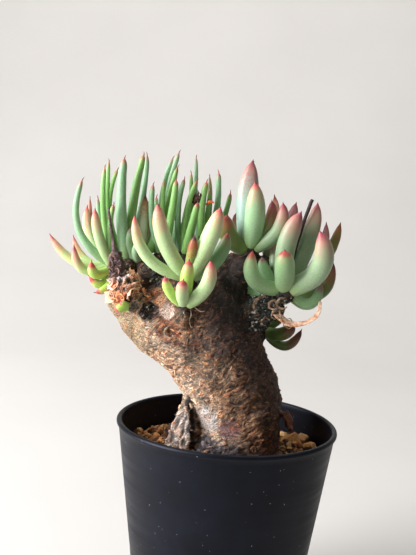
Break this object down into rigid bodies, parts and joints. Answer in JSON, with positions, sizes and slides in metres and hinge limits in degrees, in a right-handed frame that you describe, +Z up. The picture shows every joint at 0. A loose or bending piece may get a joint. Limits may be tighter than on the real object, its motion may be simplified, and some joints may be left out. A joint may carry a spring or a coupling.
{
  "type": "potted tylecodon",
  "caption": "Succulent with a leaning fat stem, tufts of finger leaves with red tips and loose bark, growing in soil in a round black nursery pot.",
  "frame": {"origin": "centre of the pot's flat underside", "axes": "+Z up along the pot's axis, -Y towards the front of the plant, +X to its right"},
  "size_m": [0.12, 0.09, 0.1925],
  "materials": {
    "pot_plastic": "matte black moulded plastic",
    "soil_grit": "dry tan potting grit",
    "bark": "rough peeling bark",
    "leaf": "waxy green leaf with a red tip",
    "dry_leaf": "dry shrivelled leaf"
  },
  "bodies": {
    "root": {"pot": "pot_plastic", "soil": "soil_grit", "stem": "bark", "leaves_left": "leaf", "leaves_front": "leaf", "leaves_rear": "leaf", "leaves_right_upper": "leaf", "leaves_right": "leaf", "leaves_low_right": "leaf", "leaves_front_shoot": "leaf", "leaves_left_shoot": "leaf", "dry_stalk": "dry_leaf", "dry_leaf": "dry_leaf"}
  },
  "joints": []
}
